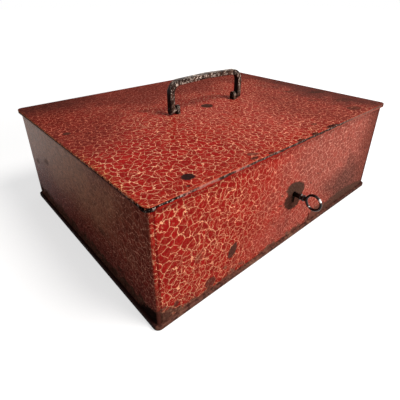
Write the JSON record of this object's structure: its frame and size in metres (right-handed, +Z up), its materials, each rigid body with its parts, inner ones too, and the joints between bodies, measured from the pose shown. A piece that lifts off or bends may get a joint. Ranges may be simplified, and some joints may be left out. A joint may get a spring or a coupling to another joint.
{
  "type": "strongbox",
  "caption": "Low sheet-steel strongbox with a hinged overhanging lid, folding carrying handle and a front lock worked by a ring-bow key.",
  "frame": {"origin": "middle of the underside of the base, which is the plane that the box stands on", "axes": "+X to the right along the front, +Y from the front to the hinges at the back, +Z up"},
  "size_m": [0.3, 0.2593, 0.1337],
  "materials": {
    "box_paint": "aged red crackle paint, worn to dark steel at the edges",
    "lid_paint": "aged red crackle paint, worn to dark steel at the edges",
    "handle_paint": "black paint crazed to cream",
    "hinge_paint": "worn red paint over steel",
    "hinge_steel": "dull dark steel",
    "lock_steel": "dull steel with a brown tarnish",
    "key_steel": "dark polished steel, bright on its high spots"
  },
  "bodies": {
    "box": {"base_pan": "box_paint", "front_wall": "box_paint", "back_wall": "box_paint", "left_wall": "box_paint", "right_wall": "box_paint", "left_hinge_wall_leaf": "hinge_paint", "right_hinge_wall_leaf": "hinge_paint", "left_hinge_pin": "hinge_steel", "right_hinge_pin": "hinge_steel", "hinge_wall_rivets": "hinge_paint", "lock_plate": "lock_steel", "lock_cover": "lock_steel", "lock_screws": "lock_steel", "bolt_studs": "lock_steel", "bolt_spring": "lock_steel", "ward_ring": "lock_steel"},
    "lid": {"lid_plate": "lid_paint", "lid_rim": "lid_paint", "left_lid_rim": "lid_paint", "right_lid_rim": "lid_paint", "lid_staple": "lock_steel", "staple_rivets": "lid_paint", "left_hinge_lid_leaf": "hinge_steel", "right_hinge_lid_leaf": "hinge_steel", "hinge_lid_rivets": "lid_paint", "left_ear": "handle_paint", "right_ear": "handle_paint", "ear_washers": "lock_steel", "pivot_pins": "handle_paint"},
    "handle": {"handle_bar": "handle_paint"},
    "drill_pin": {"drill_pin": "lock_steel"},
    "key": {"key": "key_steel"},
    "bolt": {"bolt": "lock_steel"}
  },
  "joints": [
    {"name": "lid_hinge", "type": "hinge", "parent": "box", "child": "lid", "pos_m": [0, 0.11635, 0.0974], "axis": [-1, 0, 0], "range_deg": [0, 105]},
    {"name": "handle_swing", "type": "hinge", "parent": "lid", "child": "handle", "pos_m": [0, 0, 0.1048], "axis": [1, 0, 0], "range_deg": [-90, 90]},
    {"name": "key_turn", "type": "hinge", "parent": "box", "child": "drill_pin", "pos_m": [0, -0.1, 0.0476], "axis": [0, 1, 0], "range_deg": [0, 360]},
    {"name": "key_pull", "type": "slide", "parent": "drill_pin", "child": "key", "axis": [0, -1, 0], "range_m": [0, 0.045]},
    {"name": "bolt_slide", "type": "slide", "parent": "box", "child": "bolt", "axis": [1, 0, 0], "range_m": [0, 0.008]}
  ],
  "couplings": [
    {"joint": "key_turn", "follows": "bolt_slide", "rad_per_m": 785.3}
  ]
}
